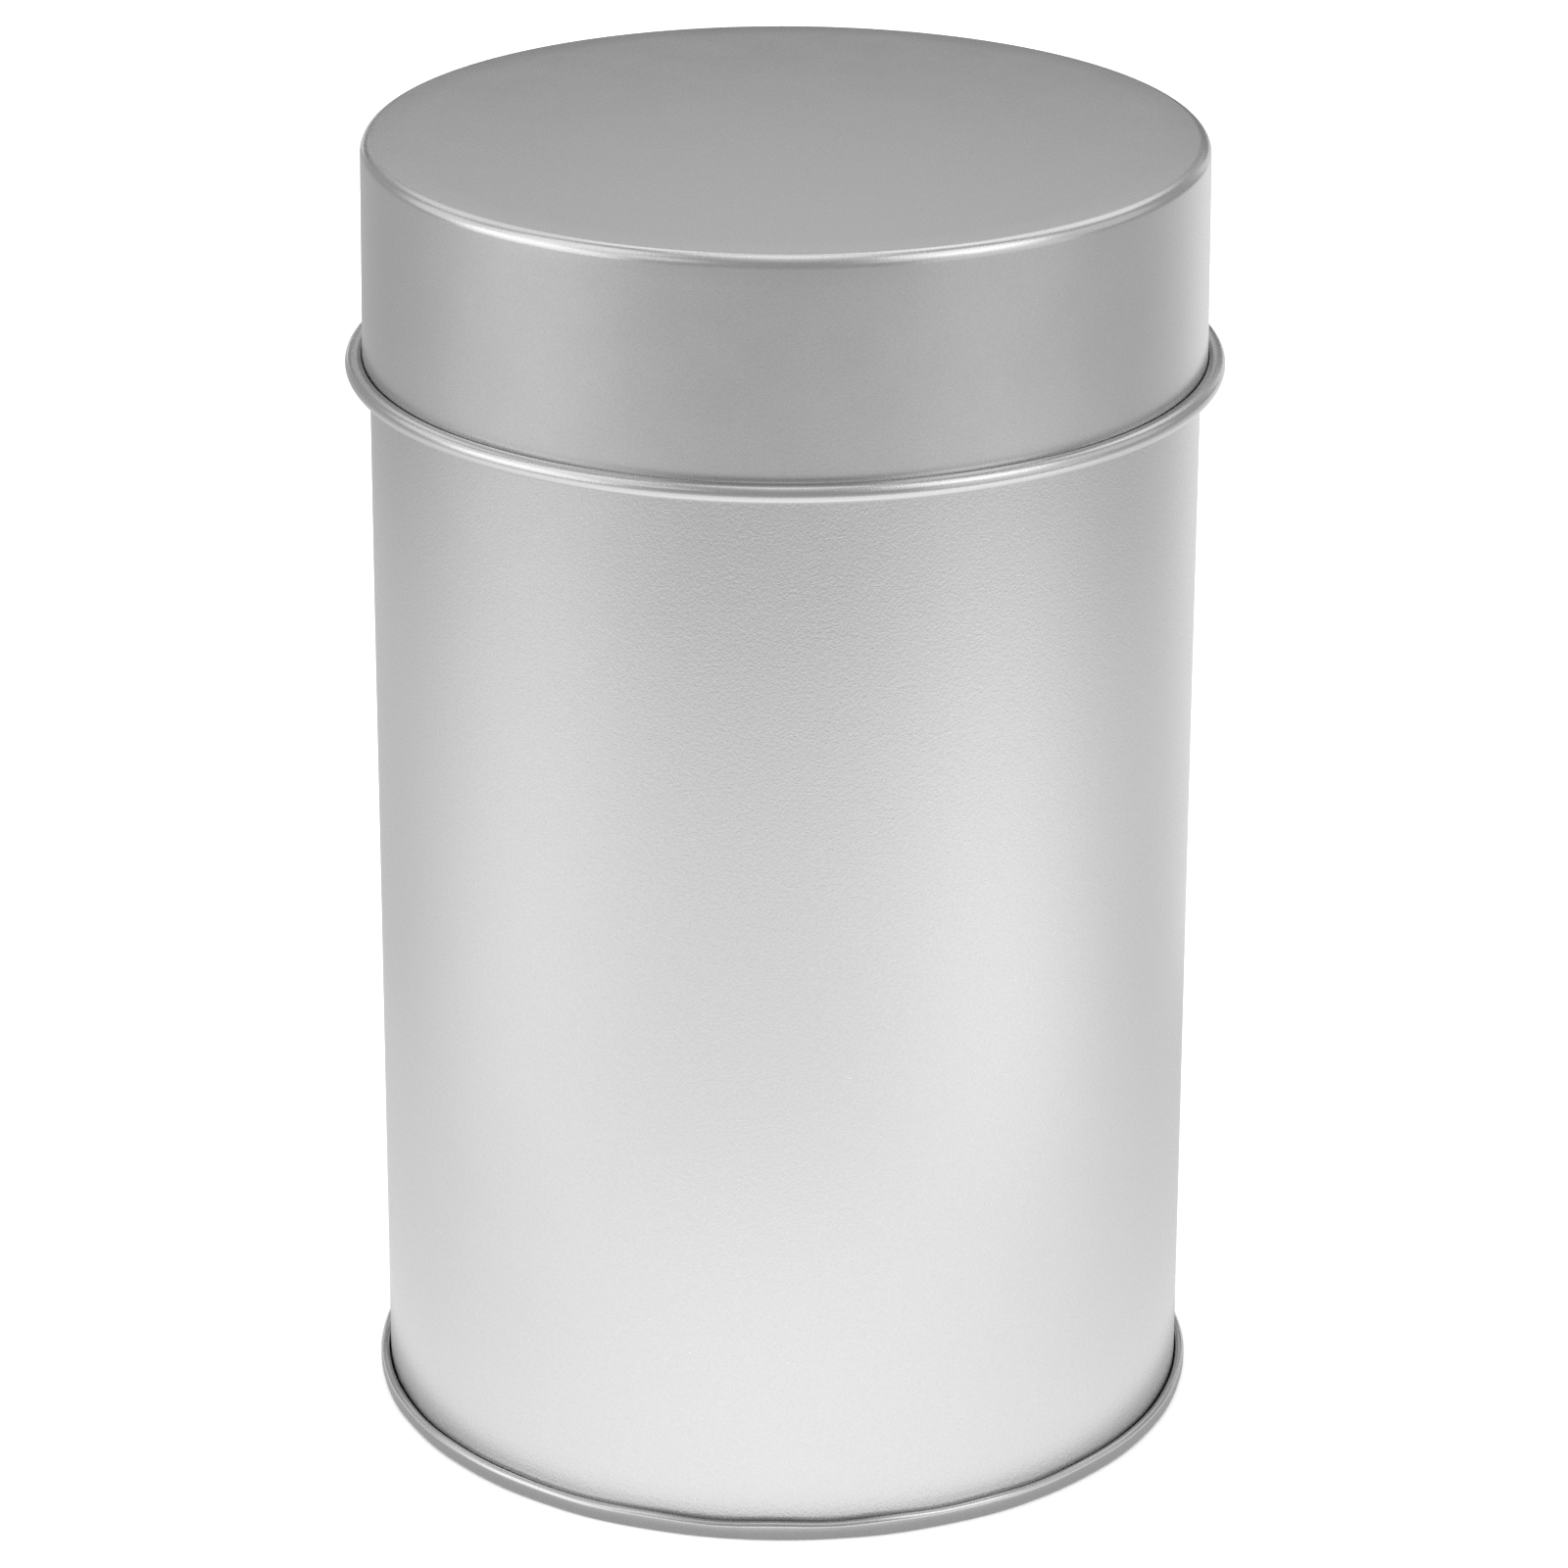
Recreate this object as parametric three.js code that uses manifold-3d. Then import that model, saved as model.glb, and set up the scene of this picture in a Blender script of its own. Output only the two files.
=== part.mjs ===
// A tall round slip-lid candle tin in thin tinplate. Millimetres, +Z up, origin at the centre of its foot.
// Every sheet piece is a centreline that is walked in the half plane (radius, height), given the sheet's
// thickness on both sides and spun about the axis. All pieces share one set of facets, so they nest evenly.

import * as THREE from 'three';
import { mergeVertices } from 'three/addons/utils/BufferGeometryUtils.js';
import Module from 'manifold-3d';

// Whole tin
const TIN_HEIGHT = 130;
const FACETS = 60;
const SHEET = 0.23;

// Lid. Its skirt leans outwards by the draft of the drawing tool, in degrees.
const LID_RADIUS = 40.8;
const LID_HEIGHT = 23.15;
const LID_CORNER = 1.25;
const LID_DRAFT = 0.6;
const CURL_RADIUS = 0.95;
const CURL_TURN = 310;

// Body shell
const BODY_RADIUS = 40.35;
const BODY_TOP = 129.4;
const HEM_LEG = 3.2;
const HEM_GAP = 0.1;
const SIDE_SEAM_WIDTH = 4;
const SIDE_SEAM_RISE = 0.5;
const SIDE_SEAM_BOTTOM = 5;
const SIDE_SEAM_TOP = 125;

// Double seam that joins the base plate to the shell
const SEAM_HEIGHT = 1.8;
const SEAM_GAP = 0.1;
const SEAM_CORNER = 0.5;
const BODY_HOOK_TOP = 1.15;
const COVER_HOOK_BOTTOM = 0.75;
const COMPOUND_CLEARANCE = 0.05;

// Base plate
const FLOOR_HEIGHT = 2.4;
const FLOOR_CORNER = 0.6;
const STEP_RADIUS = 33;
const STEP_RISE = 0.6;
const STEP_TILT = 40;

// Degrees turned by one facet, round the lid's bends and round the tight folds of the other pieces
const LID_STEP = 22.5;
const FOLD_STEP = 45;

// Radii of the sheet centrelines across the double seam, from the inside out
const PITCH = SHEET + SEAM_GAP;
const SHELL_LINE = BODY_RADIUS - SHEET / 2;
const CHUCK_LINE = SHELL_LINE - PITCH;
const COVER_HOOK_LINE = SHELL_LINE + PITCH;
const BODY_HOOK_LINE = SHELL_LINE + 2 * PITCH;
const SEAMING_LINE = SHELL_LINE + 3 * PITCH;

const wasm = await Module();
wasm.setup();

function satinTinplate() {
  return new THREE.MeshStandardMaterial({ color: 0xc3c4c5, roughness: 0.45, metalness: 0.9 });
}

function greyCompound() {
  return new THREE.MeshStandardMaterial({ color: 0x8d8f8c, roughness: 0.8, metalness: 0 });
}

// Walks a sheet's centreline: straight runs and round bends, each point kept with its left-hand normal.
// A heading of 0 degrees points away from the axis and 90 degrees points up.
function startLine(radius, height, heading) {
  const line = { radius, height, heading, points: [] };
  keepPoint(line);
  return line;
}

function keepPoint(line) {
  const angle = THREE.MathUtils.degToRad(line.heading + 90);
  const normal = new THREE.Vector2(Math.cos(angle), Math.sin(angle));
  line.points.push({ at: new THREE.Vector2(line.radius, line.height), normal });
}

function run(line, length) {
  const angle = THREE.MathUtils.degToRad(line.heading);
  line.radius += length * Math.cos(angle);
  line.height += length * Math.sin(angle);
  keepPoint(line);
}

// Positive turns bend to the left. The radius is the centreline's.
function bend(line, radius, turn, step = FOLD_STEP) {
  const side = Math.sign(turn);
  const start = line.points.at(-1);
  const centre = start.at.clone().addScaledVector(start.normal, side * radius);
  const count = Math.ceil(Math.abs(turn) / step);
  const from = line.heading;
  for (let i = 1; i <= count; i += 1) {
    line.heading = from + (turn * i) / count;
    const angle = THREE.MathUtils.degToRad(line.heading - side * 90);
    line.radius = centre.x + radius * Math.cos(angle);
    line.height = centre.y + radius * Math.sin(angle);
    keepPoint(line);
  }
}

// The closed outline of a sheet that follows the line. One that starts on the axis is left open there.
function sheetOutline(line) {
  const offset = (point, side) => point.at.clone().addScaledVector(point.normal, (side * SHEET) / 2);
  const left = line.points.map((point) => offset(point, 1));
  const right = line.points.map((point) => offset(point, -1)).reverse();
  const outline = [...left, ...right];
  if (line.points[0].at.x > 0) {
    outline.push(outline[0].clone());
  }
  return outline.reverse();
}

function spin(outline) {
  return new THREE.LatheGeometry(outline, FACETS).rotateX(Math.PI / 2);
}

function toSolid(geometry) {
  const bare = geometry.clone();
  bare.deleteAttribute('normal');
  bare.deleteAttribute('uv');
  const merged = mergeVertices(bare, 1e-4);
  const vertProperties = merged.attributes.position.array;
  const triVerts = new Uint32Array(merged.index.array);
  return new wasm.Manifold(new wasm.Mesh({ numProp: 3, vertProperties, triVerts }));
}

function fromSolid(solid) {
  const { vertProperties, triVerts } = solid.getMesh();
  const geometry = new THREE.BufferGeometry();
  geometry.setAttribute('position', new THREE.BufferAttribute(vertProperties, 3));
  geometry.setIndex(new THREE.BufferAttribute(triVerts, 1));
  geometry.computeVertexNormals();
  return geometry;
}

// Drawn cap: top panel, corner, skirt and the hollow curl that turns outwards round its mouth.
function lidGeometry() {
  const curlCentre = TIN_HEIGHT - LID_HEIGHT + CURL_RADIUS;
  const line = startLine(0, TIN_HEIGHT - SHEET / 2, 0);
  run(line, LID_RADIUS - LID_CORNER);
  bend(line, LID_CORNER - SHEET / 2, LID_DRAFT - 90, LID_STEP);
  run(line, (line.height - curlCentre) / Math.cos(THREE.MathUtils.degToRad(LID_DRAFT)));
  bend(line, CURL_RADIUS - SHEET / 2, CURL_TURN, LID_STEP);
  return spin(sheetOutline(line));
}

// Rolled wall: hem turned inwards at the mouth, straight wall, and the flange turned up as the body hook.
function wallGeometry() {
  const hemRadius = (SHEET + HEM_GAP) / 2;
  const hemCentre = BODY_TOP - SHEET / 2 - hemRadius;
  const flangeRadius = (BODY_HOOK_LINE - SHELL_LINE) / 2;
  const flangeCentre = SHEET + SEAM_GAP + SHEET / 2 + flangeRadius;
  const line = startLine(SHELL_LINE - 2 * hemRadius, hemCentre - HEM_LEG, 90);
  run(line, HEM_LEG);
  bend(line, hemRadius, -180);
  run(line, hemCentre - flangeCentre);
  bend(line, flangeRadius, 180);
  run(line, BODY_HOOK_TOP - flangeCentre);
  return spin(sheetOutline(line));
}

// Flattened folds of the wall's side joint, which stand up on the inside of the wall at the back.
function sideSeamGeometry() {
  const innerFace = BODY_RADIUS - SHEET - SIDE_SEAM_RISE;
  const length = SIDE_SEAM_TOP - SIDE_SEAM_BOTTOM;
  const depth = SHELL_LINE - innerFace;
  const strip = new THREE.BoxGeometry(SIDE_SEAM_WIDTH, depth, length);
  return strip.translate(0, innerFace + depth / 2, SIDE_SEAM_BOTTOM + length / 2);
}

function bodyShellGeometry() {
  return fromSolid(toSolid(wallGeometry()).add(toSolid(sideSeamGeometry())));
}

// Bottom: raised middle, floor, chuck wall down inside the shell, seaming panel, seaming wall and cover hook.
function basePlateGeometry() {
  const stepRadius = STEP_RISE / (2 * (1 - Math.cos(THREE.MathUtils.degToRad(STEP_TILT))));
  const foldRadius = (SEAMING_LINE - COVER_HOOK_LINE) / 2;
  const cornerRadius = SEAM_CORNER - SHEET / 2;
  const line = startLine(0, FLOOR_HEIGHT + STEP_RISE + SHEET / 2, 0);
  run(line, STEP_RADIUS);
  bend(line, stepRadius, -STEP_TILT);
  bend(line, stepRadius, STEP_TILT);
  run(line, CHUCK_LINE - FLOOR_CORNER - line.radius);
  bend(line, FLOOR_CORNER, -90);
  run(line, line.height - SEAM_CORNER);
  bend(line, cornerRadius, 90);
  run(line, SEAMING_LINE - CHUCK_LINE - 2 * cornerRadius);
  bend(line, cornerRadius, 90);
  run(line, SEAM_HEIGHT - SHEET / 2 - foldRadius - line.height);
  bend(line, foldRadius, 180);
  run(line, line.height - COVER_HOOK_BOTTOM);
  return spin(sheetOutline(line));
}

// Ring of sealing compound in the pocket between the body hook's edge and the fold of the cover.
function seamCompoundGeometry() {
  const inner = COVER_HOOK_LINE + SHEET / 2 + COMPOUND_CLEARANCE;
  const outer = SEAMING_LINE - SHEET / 2 - COMPOUND_CLEARANCE;
  const domeRadius = (outer - inner) / 2;
  const middle = (outer + inner) / 2;
  const bottom = BODY_HOOK_TOP + COMPOUND_CLEARANCE;
  const domeCentre = SEAM_HEIGHT - (SEAMING_LINE - COVER_HOOK_LINE) / 2 - SHEET / 2;
  const outline = [new THREE.Vector2(inner, bottom), new THREE.Vector2(outer, bottom)];
  for (let degrees = 0; degrees <= 180; degrees += FOLD_STEP) {
    const angle = THREE.MathUtils.degToRad(degrees);
    const radius = middle + domeRadius * Math.cos(angle);
    outline.push(new THREE.Vector2(radius, domeCentre + domeRadius * Math.sin(angle)));
  }
  outline.push(outline[0].clone());
  return spin(outline);
}

function addPiece(group, name, geometry, material) {
  const piece = new THREE.Mesh(geometry, material);
  piece.name = name;
  group.add(piece);
}

const candleTin = new THREE.Group();
candleTin.name = 'candle_tin';
addPiece(candleTin, 'body_shell', bodyShellGeometry(), satinTinplate());
addPiece(candleTin, 'base_plate', basePlateGeometry(), satinTinplate());
addPiece(candleTin, 'seam_compound', seamCompoundGeometry(), greyCompound());
addPiece(candleTin, 'lid', lidGeometry(), satinTinplate());

export default candleTin;
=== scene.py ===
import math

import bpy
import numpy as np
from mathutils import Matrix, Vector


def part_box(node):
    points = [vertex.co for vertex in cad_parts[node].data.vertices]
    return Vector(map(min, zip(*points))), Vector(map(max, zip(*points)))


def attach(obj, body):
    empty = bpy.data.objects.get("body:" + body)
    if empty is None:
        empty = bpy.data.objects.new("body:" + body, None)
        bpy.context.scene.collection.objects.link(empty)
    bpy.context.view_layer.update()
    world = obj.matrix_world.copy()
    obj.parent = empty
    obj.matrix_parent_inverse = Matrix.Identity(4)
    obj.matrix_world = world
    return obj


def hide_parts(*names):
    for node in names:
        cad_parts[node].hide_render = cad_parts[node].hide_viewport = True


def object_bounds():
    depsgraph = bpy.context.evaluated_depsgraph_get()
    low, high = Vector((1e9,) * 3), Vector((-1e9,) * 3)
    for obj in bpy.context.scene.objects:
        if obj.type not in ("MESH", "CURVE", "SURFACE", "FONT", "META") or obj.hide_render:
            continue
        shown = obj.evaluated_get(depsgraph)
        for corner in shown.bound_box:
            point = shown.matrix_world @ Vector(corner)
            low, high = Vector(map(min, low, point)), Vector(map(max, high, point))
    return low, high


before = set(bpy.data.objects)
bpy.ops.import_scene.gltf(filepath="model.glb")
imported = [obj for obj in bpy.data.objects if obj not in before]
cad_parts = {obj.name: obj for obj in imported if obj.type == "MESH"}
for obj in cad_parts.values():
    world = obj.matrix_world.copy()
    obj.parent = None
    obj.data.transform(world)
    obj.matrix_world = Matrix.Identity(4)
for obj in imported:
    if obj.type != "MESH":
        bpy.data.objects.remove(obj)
cad_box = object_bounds()

# A tall round slip-lid candle tin. Each sheet piece is a centreline that is walked in the half plane
# (radius, height), given the sheet's thickness on both sides and spun about the tin's axis.
# Sizes are in metres and angles in degrees. What the frame doesn't say (sheet, gaps and bends) is named here.

# Sheet and folds
SHEET = 0.00023
LAYER_GAP = 0.0001
PITCH = SHEET + LAYER_GAP
LID_CORNER = 0.00125
LID_DRAFT = 0.6
LID_CROWN = 0.0005
CURL_RADIUS = 0.00095
CURL_TURN = 310
HEM_LEG = 0.0032
SEAM_CORNER = 0.0005
SEAM_HEIGHT = 0.0018
BODY_HOOK_TOP = 0.00115
COVER_HOOK_BOTTOM = 0.00075
COMPOUND_CLEARANCE = 0.00005
FLOOR_CORNER = 0.0006
STEP_RADIUS = 0.033
STEP_RISE = 0.0006
STEP_TILT = 40

# The wall's side joint, at the back: a flattened fold inside, and outside a shallow band with a fine groove
JOINT_ANGLE = 90
JOINT_WIDTH = 0.004
JOINT_RISE = 0.0005
JOINT_BOTTOM = 0.005
JOINT_TOP = 0.125
JOINT_END_FADE = 0.0003
FOLD_FADE_IN, FOLD_FADE_OUT = 0.00008, 0.00012
LAP_FROM, LAP_TO = 0.00002, 0.00018
BAND_FADE = 0.0004
GROOVE_DEPTH = 0.00013
GROOVE_HALF_WIDTH = 0.00015
BAND_DEPTH = GROOVE_DEPTH / 3

# Small unevenness left by the tools: waves round the axis, drawn from a seed, with at most so many lobes.
# The wall's wave grows from nothing at the foot, and it changes with height by WALL_RISE.
WALL_WAVE = 0.000012
WALL_WAVE_FULL = 0.02
WALL_LOBES = 9
WALL_RISE = 40
SEAM_WAVE = 0.00005
SEAM_LOBES = 26
SEAM_BULGE = 0.00008
BULGE_FROM, BULGE_TO = 0.0014, 0.0034
FEWEST_LOBES = 2
LID_SEED, WALL_SEED, SEAM_TOP_SEED, SEAM_SIDE_SEED = 3, 11, 19, 20

# Mesh fineness and tolerances
TURN_STEPS = 360
BEND_STEP = 7.5
LID_RINGS = 12
WALL_RINGS = 40
FLOOR_RINGS = 4
JOINT_STEP = 0.0001
JOINT_MARGIN = 0.001
JOINT_END_RINGS = 7
JOINT_END_REACH = 0.0006
JOINT_END_CLEAR = 0.002
EDGE_ANGLE = 35
ON_AXIS = 1e-9
SAME_FACE = SHEET / 10

# Metal's finish: tones and roughness are shader values
TONE = 0.6
CUT_EDGE_TONE = 0.3
INSIDE_TONE = 0.86
INSIDE_METAL = 0.8
OUTSIDE_ROUGHNESS = 0.26
INSIDE_ROUGHNESS = 0.42
WALL_GRAIN = 0.000018
LID_GRAIN = 0.000005
INSIDE_GRAIN = 0.000008
PEBBLE_SIZE = 0.00028
PEBBLE_DETAIL = 3
PEBBLE_WARP = 0.6
FLECK_SIZE = 0.00012
FLECK_DETAIL = 1
FLECK_RATIO = 0.5
CLOUD_SIZE = 0.006
TONE_GRAIN = 0.018
TONE_CLOUD = 0.004
ROUGH_CLOUD = 0.012
ROUGH_FLECK = 0.02
SPECK_SIZE = 0.00012
PALE_SPACING, PALE_SHARE, PALE_TONE = 0.005, 0.3, 0.12
DARK_SPACING, DARK_SHARE, DARK_TONE = 0.0065, 0.12, 0.24

# Sealing compound and paper
COMPOUND_DARK = (0.10, 0.10, 0.09, 1)
COMPOUND_PALE = (0.16, 0.16, 0.15, 1)
COMPOUND_ROUGHNESS = 0.8
COMPOUND_LUMP = 0.00075
COMPOUND_GRAIN = 0.00002
PAPER_TONE = 0.8
PAPER_MOTTLE = 0.004
PAPER_MOTTLE_SIZE = 0.02
PAPER_ROUGHNESS = 0.9
PAPER_SPECULAR = 0.1

# Most of a noise texture's values lie between these
NOISE_LOW, NOISE_HIGH = 0.3, 0.7
NOISE_DETAIL = 2

# The Mix node's colour sockets, by place because its number and vector sockets have the same names
MIX_FIRST, MIX_SECOND, MIX_RESULT = 6, 7, 2

# Camera, with its sensor and lens in millimetres
SENSOR = 36
LENS = 145
CLIP_START = 0.01
CAMERA_DISTANCE = 0.5855
CAMERA_HEIGHT = 0.2954
CAMERA_PITCH = 21.66
CAMERA_ROLL = 0.16

# Floor, room and softboxes. A light's numbers are its azimuth (0 is the camera's side, 90 its right),
# elevation and half angle, and its radiance.
WHITE = (1, 1, 1, 1)
FLOOR_HALF = 1.5
FLOOR_DROP = 0.00002
FLOOR_FILL = 3.4
FLOOR_FILL_SPREAD = 120
ROOM_RADIANCE = 0.42
BACKDROP_RADIANCE = 1.0
LIGHT_DISTANCE = 1.0
LIGHTS = [
    ("left_softbox", -68, 6, 26, 1.05),
    ("left_inner_softbox", -74, 22, 15, 0.3),
    ("left_high_softbox", -72, 50, 18, 0.85),
    ("left_side_light", -102, 25, 18, 0.6),
    ("front_left_light", -38, 32, 12, 0.6),
    ("right_softbox", 58, 4, 24, 0.5),
    ("right_inner_softbox", 62, 34, 14, 0.6),
    ("right_high_softbox", 62, 50, 18, 1.1),
    ("right_side_light", 98, 25, 17, 0.35),
    ("front_right_light", 38, 34, 12, 0.5),
    ("left_edge_light", -163, 8, 12, 0.65),
    ("right_edge_light", 152, 8, 12, 0.5),
    ("back_softbox", 180, 30, 12, 0.27),
    ("back_left_softbox", -145, 50, 18, 0.65),
    ("back_right_softbox", 145, 50, 18, 0.8),
    ("back_top_softbox", 180, 70, 16, 0.5),
    ("front_top_softbox", 0, 64, 12, 0.25),
    ("top_softbox", 0, 88, 14, 0.75),
]

# Dim glowing card behind the tin, which only the metal's reflections see: painted shade, darker than the
# room, in the reflected back
CARD_DISTANCE = 0.6
CARD_HALF_WIDTH = 0.35
CARD_LOW, CARD_HIGH = 0.135, 0.275
CARD_RADIANCE = 0.2

# The lit paper as the metal reflects it. The sheet starts under the rolled seam. PAPER_GLOW is everywhere.
# On it lie a near ring (foot to middle) and a far ring (middle to far), both brightest in front, and in the
# far and outer rings three patches: towards the left and right softboxes, and behind the tin on its right.
# Nearer the foot than the near ring only PAPER_GLOW shows: a painted contact shadow round the tin's foot,
# seen in the metal.
GLOW_LIFT = 0.00001
GLOW_RINGS = 120
GLOW_TURNS = 120
GLOW_START = 0.0405
GLOW_FOOT = 0.0448
GLOW_MIDDLE = 0.12
GLOW_FAR = 0.3
GLOW_END = 0.9
GLOW_SOFTNESS = 0.15
FOOT_SOFTNESS = 0.02
PAPER_GLOW = 0.51
NEAR_GLOW, NEAR_FRONT = 0.2, 0.66
FAR_GLOW, FAR_FRONT = 0.15, 0.47
FAR_LEFT, FAR_RIGHT, FAR_BACK = 0.25, 0.34, 0.3
OUTER_LEFT, OUTER_RIGHT, OUTER_BACK = 0.26, 0.15, 0.5
LEFT_AZIMUTH, RIGHT_AZIMUTH, BACK_AZIMUTH = -72, 58, 155
PATCH_WIDTH = 33

# Material slots on each sheet piece
OUTSIDE, INSIDE, CUT_EDGE = range(3)

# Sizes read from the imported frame. The skirt's outer face has the mouth's radius at the curl and the lid's
# radius under the corner. The lines are sheet centrelines across the double seam, from the outside in.
FLOOR_LEVEL = cad_box[0].z - FLOOR_DROP
TIN_HEIGHT = cad_box[1].z
LID_LOW, LID_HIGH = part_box("lid")
WALL_LOW, WALL_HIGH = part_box("body_shell")
BASE_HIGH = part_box("base_plate")[1]
LID_MOUTH = LID_HIGH.x - 2 * CURL_RADIUS + SHEET
LID_SKIRT = LID_HIGH.z - LID_LOW.z - LID_CORNER - CURL_RADIUS
LID_RADIUS = LID_MOUTH - LID_SKIRT * math.tan(math.radians(LID_DRAFT))
SEAMING_LINE = BASE_HIGH.x - SHEET / 2
BODY_HOOK_LINE = SEAMING_LINE - PITCH
COVER_HOOK_LINE = BODY_HOOK_LINE - PITCH
SHELL_LINE = COVER_HOOK_LINE - PITCH
CHUCK_LINE = SHELL_LINE - PITCH


class SheetLine:
    """A sheet's centreline. A heading of 0 degrees points away from the axis and 90 points up."""

    def __init__(self, radius, height, heading):
        self.radius = radius
        self.height = height
        self.heading = heading
        self.points = []
        self.keep()

    def keep(self):
        normal = math.radians(self.heading + 90)
        self.points.append((self.radius, self.height, math.cos(normal), math.sin(normal)))

    def run(self, length, steps=1):
        angle = math.radians(self.heading)
        for _ in range(steps):
            self.radius += math.cos(angle) * length / steps
            self.height += math.sin(angle) * length / steps
            self.keep()

    def bend(self, radius, turn):
        """Positive turns bend to the left."""
        side = math.copysign(1, turn)
        centre_radius = self.radius + self.points[-1][2] * side * radius
        centre_height = self.height + self.points[-1][3] * side * radius
        count = math.ceil(abs(turn) / BEND_STEP)
        start = self.heading
        for i in range(1, count + 1):
            self.heading = start + turn * i / count
            angle = math.radians(self.heading - side * 90)
            self.radius = centre_radius + radius * math.cos(angle)
            self.height = centre_height + radius * math.sin(angle)
            self.keep()

    def outline(self, left, right):
        """Radius, height and side (1 left, -1 right) of the points round the sheet, and the material slot
        of each stretch. A line that starts on the axis is left open there; any other closes on itself."""
        line = np.array(self.points)
        middle, normal = line[:, :2], line[:, 2:]
        sides = np.ones((len(line), 1))
        left_side = np.hstack([middle + normal * SHEET / 2, sides])
        right_side = np.hstack([middle - normal * SHEET / 2, -sides])
        rows = np.vstack([left_side, right_side[::-1]])
        stretches = len(line) - 1
        slots = [left] * stretches + [CUT_EDGE] + [right] * stretches
        if self.points[0][0] > 0:
            slots.append(CUT_EDGE)
        return rows, slots


# Helpers


def add_object(name, data):
    thing = bpy.data.objects.new(name, data)
    bpy.context.scene.collection.objects.link(thing)
    return thing


def add_mesh(name, vertices, faces):
    mesh = bpy.data.meshes.new(name)
    mesh.from_pydata(vertices, [], faces)
    return add_object(name, mesh)


def seam_distance(angle):
    """Distance along the wall from the middle of its side joint. The angle is in radians."""
    turn = (angle - math.radians(JOINT_ANGLE) + math.pi) % (2 * math.pi) - math.pi
    return turn * SHELL_LINE


def even_angles():
    """Angles round the axis, in radians."""
    return np.linspace(0, 2 * math.pi, TURN_STEPS, endpoint=False)


def wall_angles():
    """Angles round the axis, in radians, closer together across the side joint."""
    reach = JOINT_WIDTH / 2 + JOINT_MARGIN
    angles = even_angles()
    kept = angles[np.abs(seam_distance(angles)) > reach]
    across = np.arange(-reach, reach + JOINT_STEP / 2, JOINT_STEP)
    return np.sort(np.concatenate([kept, math.radians(JOINT_ANGLE) + across / SHELL_LINE]))


def wall_heights():
    """Heights of the wall's rings, from the hem down, closer together at the ends of the side joint."""
    offsets = np.linspace(-JOINT_END_REACH, JOINT_END_REACH, JOINT_END_RINGS)
    between = np.linspace(JOINT_BOTTOM + JOINT_END_CLEAR, JOINT_TOP - JOINT_END_CLEAR, WALL_RINGS)
    return sorted([*(JOINT_TOP + offsets), *(JOINT_BOTTOM + offsets), *between], reverse=True)


def spin(name, rows, slots, angles, shape=None):
    """Spins an outline into a closed mesh. shape(radius, height, side, angle) may move the points."""
    count, turns = len(rows), len(angles)
    radius = np.repeat(rows[:, 0:1], turns, axis=1)
    height = np.repeat(rows[:, 1:2], turns, axis=1)
    if shape is not None:
        radius, height = shape(radius, height, rows[:, 2:3], angles[None, :])
    points = np.stack([radius * np.cos(angles), radius * np.sin(angles), height], axis=-1)
    on_axis = rows[:, 0] < ON_AXIS
    vertices, rings = [], []
    for i in range(count):
        first = len(vertices)
        if on_axis[i]:
            vertices.append(points[i, 0])
            rings.append([first] * turns)
        else:
            vertices.extend(points[i])
            rings.append(range(first, first + turns))
    faces, face_slots = [], []
    for i, slot in enumerate(slots):
        here, there = rings[i], rings[(i + 1) % count]
        if on_axis[i] and on_axis[(i + 1) % count]:
            continue
        for j in range(turns):
            k = (j + 1) % turns
            corners = dict.fromkeys((here[j], there[j], there[k], here[k]))
            faces.append(tuple(corners))
            face_slots.append(slot)
    piece = add_mesh(name, [tuple(v) for v in vertices], faces)
    piece.data.polygons.foreach_set("material_index", face_slots)
    piece.data.shade_smooth()
    piece.data.set_sharp_from_angle(angle=math.radians(EDGE_ANGLE))
    piece.data.update()
    return piece


def smooth(low, high, value):
    """0 below low, 1 above high and a soft ramp between."""
    t = np.clip((value - low) / (high - low), 0, 1)
    return t * t * (3 - 2 * t)


def ripple(angle, height, seed, most_lobes, rise=0.0):
    """A slow uneven wave of about unit size round the axis. rise is how fast it changes with height."""
    draw = np.random.default_rng(seed)
    wave = 0
    for lobes in range(FEWEST_LOBES, most_lobes + 1):
        phase, lean = draw.uniform(-math.pi, math.pi, 2)
        wave = wave + np.cos(lobes * angle + phase + lean * rise * height) / math.sqrt(most_lobes / 2)
    return wave


# Shapes


def make_lid():
    """Drawn cap: panel, corner, skirt and the hollow curl, whose face is the sheet's inside."""
    curl_centre = LID_LOW.z + CURL_RADIUS
    line = SheetLine(0, TIN_HEIGHT - SHEET / 2, 0)
    line.run(LID_RADIUS - LID_CORNER, steps=LID_RINGS)
    line.bend(LID_CORNER - SHEET / 2, LID_DRAFT - 90)
    line.run((line.height - curl_centre) / math.cos(math.radians(LID_DRAFT)), steps=LID_RINGS)
    line.bend(CURL_RADIUS - SHEET / 2, CURL_TURN)
    rows, slots = line.outline(OUTSIDE, INSIDE)

    def drawn(radius, height, side, angle):
        """A slightly wavy skirt and a panel that rises towards its middle."""
        skirt = smooth(LID_RADIUS - LID_CORNER, LID_RADIUS, radius) * smooth(LID_LOW.z, TIN_HEIGHT, height)
        radius = radius + WALL_WAVE * skirt * ripple(angle, height, LID_SEED, WALL_LOBES)
        panel = (height > LID_LOW.z + LID_SKIRT) * (1 - np.minimum(radius / LID_RADIUS, 1) ** 2)
        return radius, height + LID_CROWN * panel

    return spin("lid_cap", rows, slots, even_angles(), drawn)


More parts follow.
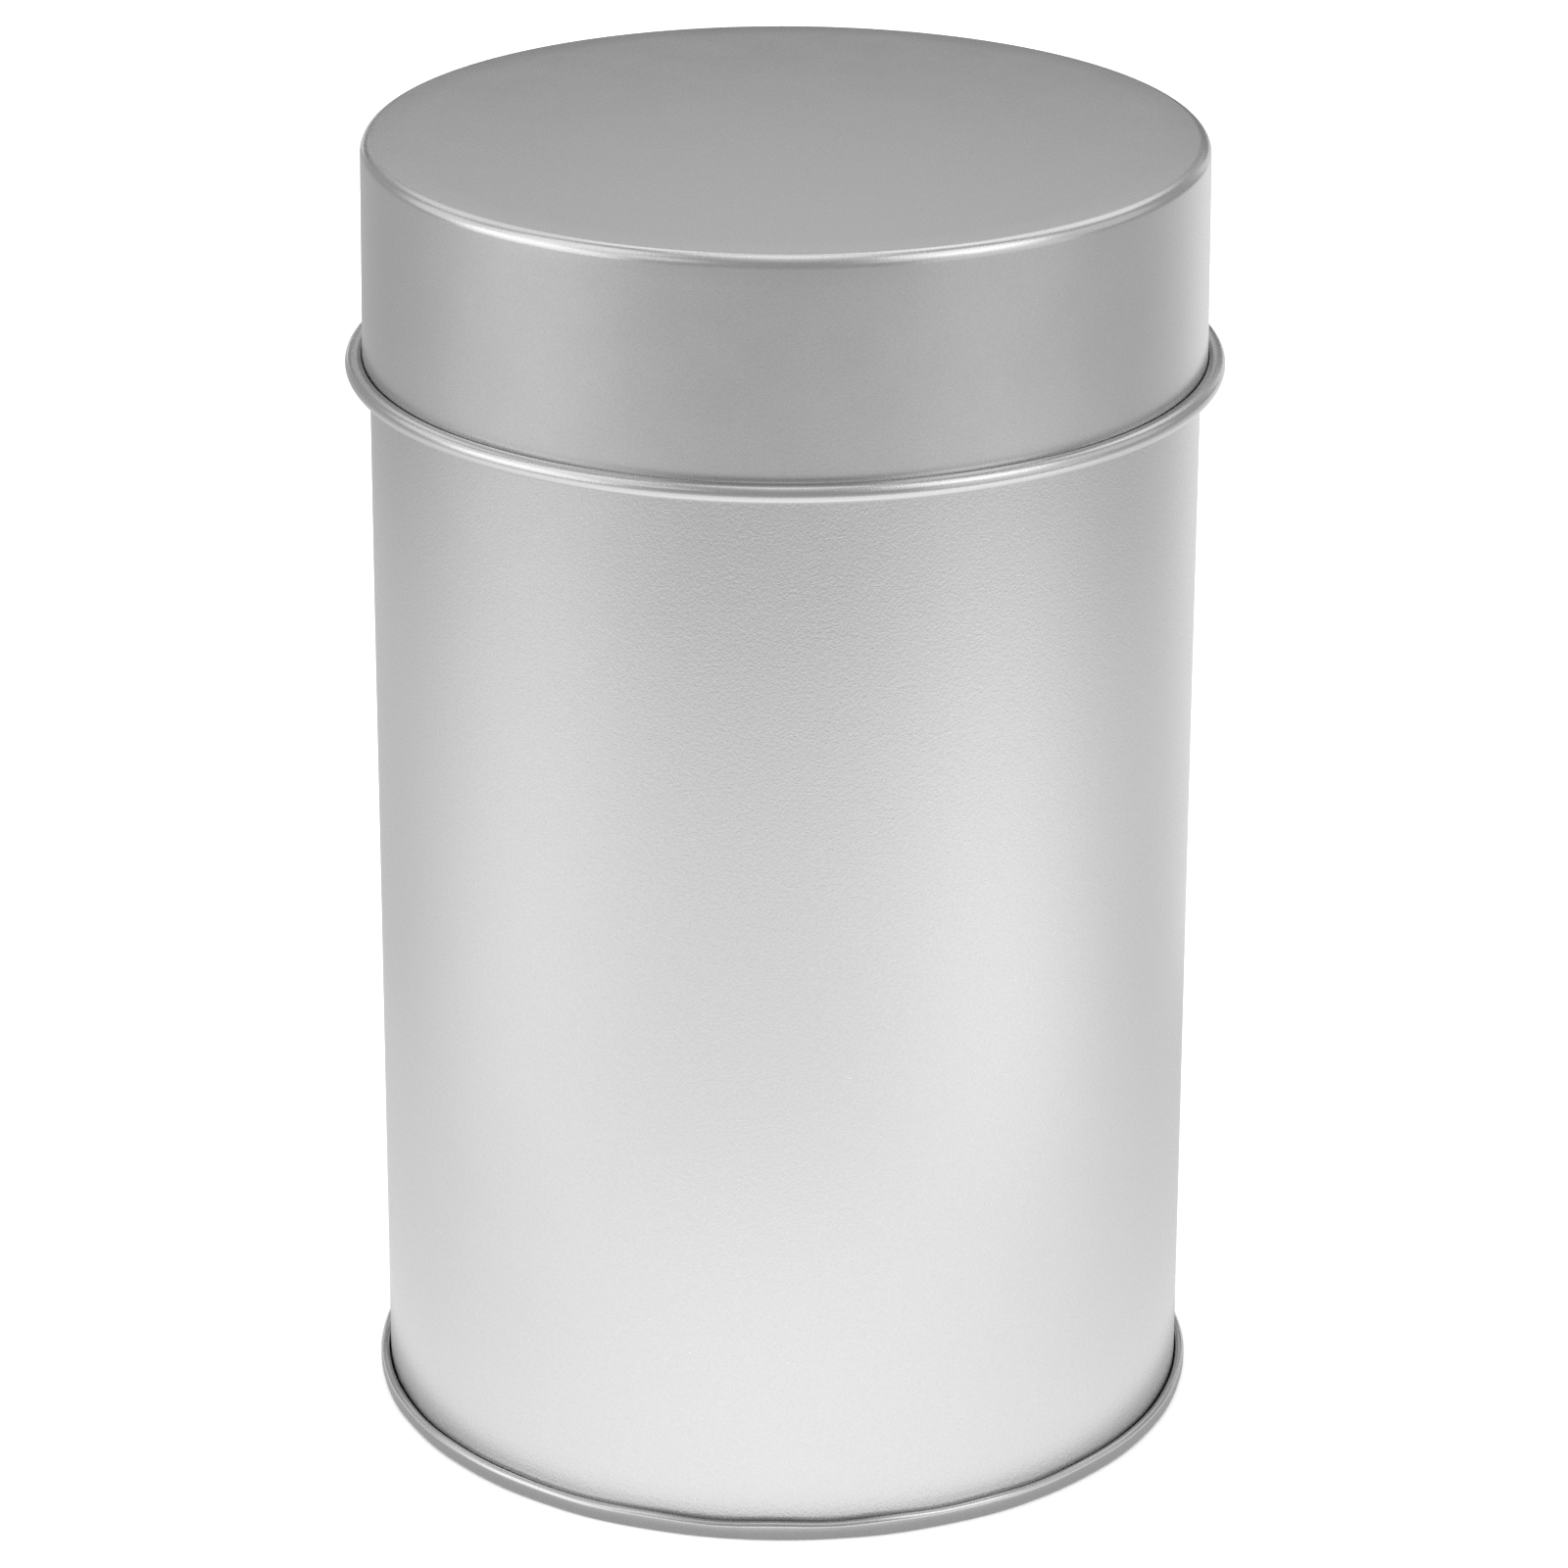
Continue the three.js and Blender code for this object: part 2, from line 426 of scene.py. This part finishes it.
def joined_wall(radius, height, side, angle):
    """A slightly wavy wall with its side joint. Only the wall's two faces move, not the hem or the hook."""
    outer_face = (side > 0) & (np.abs(radius - SHELL_LINE - SHEET / 2) < SAME_FACE)
    inner_face = (side < 0) & (np.abs(radius - SHELL_LINE + SHEET / 2) < SAME_FACE)
    across = seam_distance(angle)
    half = JOINT_WIDTH / 2
    fold = 1 - smooth(half - FOLD_FADE_IN, half + FOLD_FADE_OUT, np.abs(across))
    lap = 1 - smooth(LAP_FROM, LAP_TO, across + half / 2)
    ends = smooth(JOINT_BOTTOM - JOINT_END_FADE, JOINT_BOTTOM + JOINT_END_FADE, height)
    ends = ends * (1 - smooth(JOINT_TOP - JOINT_END_FADE, JOINT_TOP + JOINT_END_FADE, height))
    groove = np.exp(-(((across - half) / GROOVE_HALF_WIDTH) ** 2)) * GROOVE_DEPTH
    band = (1 - smooth(half - BAND_FADE, half + BAND_FADE, np.abs(across))) * BAND_DEPTH
    wave = WALL_WAVE * smooth(0, WALL_WAVE_FULL, height)
    wave = wave * ripple(angle, height, WALL_SEED, WALL_LOBES, WALL_RISE)
    radius = radius + np.where(outer_face | inner_face, wave, 0)
    radius = radius - np.where(outer_face, groove + band, 0)
    radius = radius - np.where(inner_face, (JOINT_RISE - SHEET / 2 * lap) * fold * ends, 0)
    return radius, height


def make_wall():
    """Rolled wall: hem turned inwards at the mouth, wall, and the flange turned up as the body hook."""
    hem_radius = (SHEET + LAYER_GAP) / 2
    hem_centre = WALL_HIGH.z - SHEET / 2 - hem_radius
    flange_radius = (BODY_HOOK_LINE - SHELL_LINE) / 2
    flange_centre = WALL_LOW.z + SHEET / 2 + flange_radius
    line = SheetLine(SHELL_LINE - 2 * hem_radius, hem_centre - HEM_LEG, 90)
    line.run(HEM_LEG)
    line.bend(hem_radius, -180)
    for height in wall_heights():
        line.run(line.height - height)
    line.run(line.height - flange_centre)
    line.bend(flange_radius, 180)
    line.run(BODY_HOOK_TOP - flange_centre)
    rows, slots = line.outline(OUTSIDE, INSIDE)
    return spin("wall_shell", rows, slots, wall_angles(), joined_wall)


def rolled_seam(radius, height, side, angle):
    """The seam's rolled edge: slightly wavy, and fuller where it crosses the side joint."""
    out = smooth(COVER_HOOK_LINE, SEAMING_LINE, radius)
    top = smooth(BODY_HOOK_TOP / 2, SEAM_HEIGHT, height) * smooth(SHELL_LINE, COVER_HOOK_LINE, radius)
    bulge = SEAM_BULGE * (1 - smooth(BULGE_FROM, BULGE_TO, np.abs(seam_distance(angle))))
    along_top = SEAM_WAVE * ripple(angle, height, SEAM_TOP_SEED, SEAM_LOBES)
    along_side = SEAM_WAVE * ripple(angle, height, SEAM_SIDE_SEED, SEAM_LOBES) / 2
    return radius + out * (bulge + along_side), height + top * along_top


def make_base():
    """Bottom: raised middle, floor, chuck wall, seaming panel, seaming wall and cover hook."""
    step_radius = STEP_RISE / (2 * (1 - math.cos(math.radians(STEP_TILT))))
    fold_radius = (SEAMING_LINE - COVER_HOOK_LINE) / 2
    corner_radius = SEAM_CORNER - SHEET / 2
    line = SheetLine(0, BASE_HIGH.z - SHEET / 2, 0)
    line.run(STEP_RADIUS, steps=FLOOR_RINGS)
    line.bend(step_radius, -STEP_TILT)
    line.bend(step_radius, STEP_TILT)
    line.run(CHUCK_LINE - FLOOR_CORNER - line.radius)
    line.bend(FLOOR_CORNER, -90)
    line.run(line.height - SEAM_CORNER)
    line.bend(corner_radius, 90)
    line.run(SEAMING_LINE - CHUCK_LINE - 2 * corner_radius)
    line.bend(corner_radius, 90)
    line.run(SEAM_HEIGHT - SHEET / 2 - fold_radius - line.height)
    line.bend(fold_radius, 180)
    line.run(line.height - COVER_HOOK_BOTTOM)
    rows, slots = line.outline(INSIDE, OUTSIDE)
    return spin("base_disc", rows, slots, even_angles(), rolled_seam)


def make_compound():
    """Ring of sealing compound, domed into the fold of the cover."""
    inner = COVER_HOOK_LINE + SHEET / 2 + COMPOUND_CLEARANCE
    outer = SEAMING_LINE - SHEET / 2 - COMPOUND_CLEARANCE
    dome_radius = (outer - inner) / 2
    bottom = BODY_HOOK_TOP + COMPOUND_CLEARANCE
    dome_centre = SEAM_HEIGHT - (SEAMING_LINE - COVER_HOOK_LINE) / 2 - SHEET / 2
    rows = [(inner, bottom, 1), (outer, bottom, 1)]
    for degrees in np.arange(0, 180 + BEND_STEP, 2 * BEND_STEP):
        angle = math.radians(degrees)
        radius = (inner + outer) / 2 + dome_radius * math.cos(angle)
        rows.append((radius, dome_centre + dome_radius * math.sin(angle), 1))
    # The outline is walked with its outside on the left
    rows = np.array(rows[::-1], float)
    return spin("compound_ring", rows, [0] * len(rows), even_angles())


# Materials


class Nodes:
    """Adds shader nodes to a material or a world and links them by name."""

    def __init__(self, owner):
        owner.use_nodes = True
        self.tree = owner.node_tree
        self.tree.nodes.clear()

    def add(self, kind, **settings):
        node = self.tree.nodes.new(kind)
        for name, value in settings.items():
            if name in node.inputs:
                node.inputs[name].default_value = value
            else:
                setattr(node, name, value)
        return node

    def link(self, source, target):
        self.tree.links.new(source, target)

    def math(self, operation, first, second):
        node = self.add("ShaderNodeMath", operation=operation)
        for socket, value in zip(node.inputs, (first, second)):
            if isinstance(value, (int, float)):
                socket.default_value = value
            else:
                self.link(value, socket)
        return node.outputs["Value"]

    def ramp(self, value, low, high, to_low, to_high):
        node = self.add("ShaderNodeMapRange")
        for name, number in zip(("From Min", "From Max", "To Min", "To Max"), (low, high, to_low, to_high)):
            node.inputs[name].default_value = number
        self.link(value, node.inputs["Value"])
        return node.outputs["Result"]

    def spread(self, noise, middle, reach):
        """Noise as a value that varies by reach on both sides of middle."""
        return self.ramp(noise, NOISE_LOW, NOISE_HIGH, middle - reach, middle + reach)

    def place(self):
        """The point on the object's own axes, in metres."""
        return self.add("ShaderNodeTexCoord").outputs["Object"]

    def noise(self, place, size, detail=NOISE_DETAIL, distortion=0):
        """Noise whose features are about size metres across."""
        node = self.add("ShaderNodeTexNoise", Scale=1 / size, Detail=detail, Distortion=distortion)
        self.link(place, node.inputs["Vector"])
        return node.outputs["Fac"]

    def specks(self, place, spacing, share):
        """1 on small dots, about one in each cell of that spacing, kept in a share of the cells."""
        node = self.add("ShaderNodeTexVoronoi", Scale=1 / spacing)
        self.link(place, node.inputs["Vector"])
        edge = SPECK_SIZE / spacing
        dot = self.ramp(node.outputs["Distance"], edge, edge / 2, 0, 1)
        split = self.add("ShaderNodeSeparateColor")
        self.link(node.outputs["Color"], split.inputs["Color"])
        kept = self.math("LESS_THAN", split.outputs["Red"], share)
        return self.math("MULTIPLY", dot, kept)

    def grey(self, value):
        """The value as a colour."""
        node = self.add("ShaderNodeCombineColor")
        for channel in ("Red", "Green", "Blue"):
            self.link(value, node.inputs[channel])
        return node.outputs["Color"]

    def bump(self, height, distance, shader):
        """Bumps on the shader's surface, of height times distance."""
        node = self.add("ShaderNodeBump", Strength=1, Distance=distance)
        self.link(height, node.inputs["Height"])
        self.link(node.outputs["Normal"], shader.inputs["Normal"])

    def show(self, surface, kind="ShaderNodeOutputMaterial"):
        self.link(surface, self.add(kind).inputs["Surface"])


def new_material(name):
    material = bpy.data.materials.new(name)
    return material, Nodes(material)


def tinplate(name, tone, roughness, grain_height, metal=1):
    """Satin tinplate under clear lacquer: fine pebbled grain, faint cloudiness and a few tiny specks."""
    material, nodes = new_material(name)
    place = nodes.place()
    shader = nodes.add("ShaderNodeBsdfPrincipled", Metallic=metal)
    cloud = nodes.noise(place, CLOUD_SIZE)
    pebble = nodes.noise(place, PEBBLE_SIZE, PEBBLE_DETAIL, PEBBLE_WARP)
    fleck = nodes.noise(place, FLECK_SIZE, FLECK_DETAIL)
    pale = nodes.specks(place, PALE_SPACING, PALE_SHARE)
    dark = nodes.specks(place, DARK_SPACING, DARK_SHARE)
    value = nodes.spread(pebble, tone, TONE_GRAIN)
    value = nodes.math("ADD", value, nodes.spread(cloud, 0, TONE_CLOUD))
    value = nodes.math("ADD", value, nodes.math("MULTIPLY", pale, PALE_TONE))
    value = nodes.math("SUBTRACT", value, nodes.math("MULTIPLY", dark, DARK_TONE))
    nodes.link(nodes.grey(value), shader.inputs["Base Color"])
    rough = nodes.spread(cloud, roughness, ROUGH_CLOUD)
    rough = nodes.math("ADD", rough, nodes.spread(fleck, 0, ROUGH_FLECK))
    nodes.link(rough, shader.inputs["Roughness"])
    height = nodes.math("ADD", pebble, nodes.math("MULTIPLY", fleck, FLECK_RATIO))
    nodes.bump(height, grain_height, shader)
    nodes.show(shader.outputs["BSDF"])
    return material


def sealing_compound():
    """Matte grey rubbery compound with a slightly lumpy face."""
    material, nodes = new_material("sealing_compound")
    shader = nodes.add("ShaderNodeBsdfPrincipled", Roughness=COMPOUND_ROUGHNESS)
    lumps = nodes.noise(nodes.place(), COMPOUND_LUMP)
    mix = nodes.add("ShaderNodeMix", data_type="RGBA")
    nodes.link(lumps, mix.inputs["Factor"])
    mix.inputs[MIX_FIRST].default_value = COMPOUND_DARK
    mix.inputs[MIX_SECOND].default_value = COMPOUND_PALE
    nodes.link(mix.outputs[MIX_RESULT], shader.inputs["Base Color"])
    nodes.bump(lumps, COMPOUND_GRAIN, shader)
    nodes.show(shader.outputs["BSDF"])
    return material


def floor_paper():
    """Pale seamless paper with a very faint mottle."""
    material, nodes = new_material("floor_paper")
    shader = nodes.add("ShaderNodeBsdfPrincipled", Roughness=PAPER_ROUGHNESS)
    shader.inputs["Specular IOR Level"].default_value = PAPER_SPECULAR
    value = nodes.spread(nodes.noise(nodes.place(), PAPER_MOTTLE_SIZE), PAPER_TONE, PAPER_MOTTLE)
    nodes.link(nodes.grey(value), shader.inputs["Base Color"])
    nodes.show(shader.outputs["BSDF"])
    return material


def glowing(name, strength=1.0, attribute=None):
    """A surface that only gives off light, of one strength or of the one kept on its points."""
    material, nodes = new_material(name)
    shader = nodes.add("ShaderNodeEmission", Strength=strength)
    if attribute is not None:
        level = nodes.add("ShaderNodeAttribute", attribute_name=attribute)
        nodes.link(level.outputs["Fac"], shader.inputs["Strength"])
    nodes.show(shader.outputs["Emission"])
    return material


# Studio


def make_floor():
    """The pale floor. The metal sees the glowing sheet in its place."""
    corners = [(-1, -1), (1, -1), (1, 1), (-1, 1)]
    points = [(x * FLOOR_HALF, y * FLOOR_HALF, FLOOR_LEVEL) for x, y in corners]
    floor = add_mesh("floor", points, [(0, 1, 2, 3)])
    floor.data.materials.append(floor_paper())
    floor.visible_glossy = False


def make_camera():
    data = bpy.data.cameras.new("camera")
    data.sensor_width = SENSOR
    data.lens = LENS
    data.clip_start = CLIP_START
    camera = add_object("camera", data)
    camera.location = (0, -CAMERA_DISTANCE, CAMERA_HEIGHT)
    camera.rotation_euler = (math.radians(90 - CAMERA_PITCH), 0, 0)
    camera.rotation_euler.rotate_axis("Z", math.radians(CAMERA_ROLL))
    bpy.context.scene.camera = camera


def direction(azimuth, elevation):
    """Unit vector. Azimuth 0 is towards the camera and 90 to its right."""
    a, e = math.radians(azimuth), math.radians(elevation)
    return Vector((math.sin(a) * math.cos(e), -math.cos(a) * math.cos(e), math.sin(e)))


def soft_light(name, azimuth, elevation, half_angle, radiance):
    """A round softbox aimed at the tin, from where it fills the half angle."""
    radius = LIGHT_DISTANCE * math.tan(math.radians(half_angle))
    data = bpy.data.lights.new(name, "AREA")
    data.shape = "DISK"
    data.size = 2 * radius
    # A disk's power is pi times its radiance times its area
    data.energy = radiance * math.pi * math.pi * radius**2
    light = add_object(name, data)
    towards = direction(azimuth, elevation)
    light.location = Vector((0, 0, TIN_HEIGHT / 2)) + towards * LIGHT_DISTANCE
    light.rotation_euler = towards.to_track_quat("Z", "Y").to_euler()
    light.visible_camera = False


def make_floor_fill():
    """Wide light from above that whitens the floor. The metal doesn't reflect it."""
    data = bpy.data.lights.new("floor_fill", "SUN")
    data.energy = FLOOR_FILL
    data.angle = math.radians(FLOOR_FILL_SPREAD)
    light = add_object("floor_fill", data)
    light.visible_glossy = False


def ring(radius, inner, outer, inner_softness=GLOW_SOFTNESS):
    """1 between two radii, with soft edges."""
    inside = smooth(inner * (1 - inner_softness), inner * (1 + inner_softness), radius)
    return inside * (1 - smooth(outer * (1 - GLOW_SOFTNESS), outer * (1 + GLOW_SOFTNESS), radius))


def patch(azimuth, middle):
    """1 at an azimuth, falling away on both sides of it."""
    away = (azimuth - middle + 180) % 360 - 180
    return np.exp(-((away / PATCH_WIDTH) ** 2))


def paper_glow(radius, azimuth):
    """Radiance of the lit paper."""
    front = (1 + np.cos(np.radians(azimuth))) / 2
    left, right = patch(azimuth, LEFT_AZIMUTH), patch(azimuth, RIGHT_AZIMUTH)
    back = patch(azimuth, BACK_AZIMUTH)
    near = NEAR_GLOW + NEAR_FRONT * front
    far = FAR_GLOW + FAR_FRONT * front + FAR_LEFT * left + FAR_RIGHT * right + FAR_BACK * back
    outer = OUTER_LEFT * left + OUTER_RIGHT * right + OUTER_BACK * back
    # The near ring starts out from the foot; inside it the sheet is darker, a painted contact shadow.
    near = near * ring(radius, GLOW_FOOT, GLOW_MIDDLE, FOOT_SOFTNESS)
    far = far * ring(radius, GLOW_MIDDLE, GLOW_FAR)
    return PAPER_GLOW + near + far + outer * ring(radius, GLOW_FAR, GLOW_END)


def only_reflected(thing):
    """Leaves a stage object to the metal's reflections alone."""
    for kind in ("camera", "diffuse", "shadow", "transmission", "volume_scatter"):
        setattr(thing, "visible_" + kind, False)


def make_floor_glow():
    """A glowing sheet on the floor that only the metal's reflections see."""
    vertices, glow, faces = [], [], []
    for i, radius in enumerate(np.geomspace(GLOW_START, FLOOR_HALF, GLOW_RINGS)):
        for j in range(GLOW_TURNS):
            azimuth = j * 360 / GLOW_TURNS
            place = direction(azimuth, 0) * radius
            vertices.append((place.x, place.y, FLOOR_LEVEL + GLOW_LIFT))
            glow.append(paper_glow(radius, azimuth))
            if i > 0:
                k = (j + 1) % GLOW_TURNS
                last, this = (i - 1) * GLOW_TURNS, i * GLOW_TURNS
                faces.append((last + j, this + j, this + k, last + k))
    sheet = add_mesh("floor_glow", vertices, faces)
    sheet.data.attributes.new("glow", "FLOAT", "POINT").data.foreach_set("value", glow)
    sheet.data.materials.append(glowing("floor_glow", attribute="glow"))
    only_reflected(sheet)


def make_back_card():
    """The dim glowing card behind the tin: painted shade in the metal's reflections."""
    corners = [(-1, CARD_LOW), (1, CARD_LOW), (1, CARD_HIGH), (-1, CARD_HIGH)]
    points = [(x * CARD_HALF_WIDTH, CARD_DISTANCE, z) for x, z in corners]
    card = add_mesh("back_card", points, [(0, 1, 2, 3)])
    # It glows below the room's radiance: painted shade in the reflections.
    card.data.materials.append(glowing("back_card", strength=CARD_RADIANCE))
    only_reflected(card)


def make_world():
    """White behind the tin for the camera, and an even dim room for the metal to reflect."""
    world = bpy.data.worlds.new("studio")
    bpy.context.scene.world = world
    nodes = Nodes(world)
    mix = nodes.add("ShaderNodeMixShader")
    nodes.link(nodes.add("ShaderNodeLightPath").outputs["Is Camera Ray"], mix.inputs["Fac"])
    for socket, radiance in zip(mix.inputs[1:], (ROOM_RADIANCE, BACKDROP_RADIANCE)):
        background = nodes.add("ShaderNodeBackground", Color=WHITE, Strength=radiance)
        nodes.link(background.outputs["Background"], socket)
    nodes.show(mix.outputs["Shader"], "ShaderNodeOutputWorld")


# Assembly

wall_outside = tinplate("tinplate_wall", TONE, OUTSIDE_ROUGHNESS, WALL_GRAIN)
lid_outside = tinplate("tinplate_lid", TONE, OUTSIDE_ROUGHNESS, LID_GRAIN)
lid_inside = tinplate("tinplate_lid_inside", TONE, OUTSIDE_ROUGHNESS, INSIDE_GRAIN)
wall_inside = tinplate("tinplate_inside", INSIDE_TONE, INSIDE_ROUGHNESS, INSIDE_GRAIN, INSIDE_METAL)
cut_edge = tinplate("tinplate_cut_edge", CUT_EDGE_TONE, OUTSIDE_ROUGHNESS, INSIDE_GRAIN)
sheet_pieces = [
    (make_lid(), "lid", "lid", lid_outside, lid_inside),
    (make_wall(), "body_shell", "tin", wall_outside, wall_inside),
    (make_base(), "base_plate", "tin", lid_outside, wall_inside),
]
for piece, node, body, outside, inside in sheet_pieces:
    for material in (outside, inside, cut_edge):
        piece.data.materials.append(material)
    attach(piece, body)
    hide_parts(node)

compound = make_compound()
compound.data.materials.append(sealing_compound())
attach(compound, "tin")
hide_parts("seam_compound")

make_floor()
make_floor_glow()
make_back_card()
make_camera()
make_world()
make_floor_fill()
for light in LIGHTS:
    soft_light(*light)
bpy.context.scene.view_settings.view_transform = "Standard"
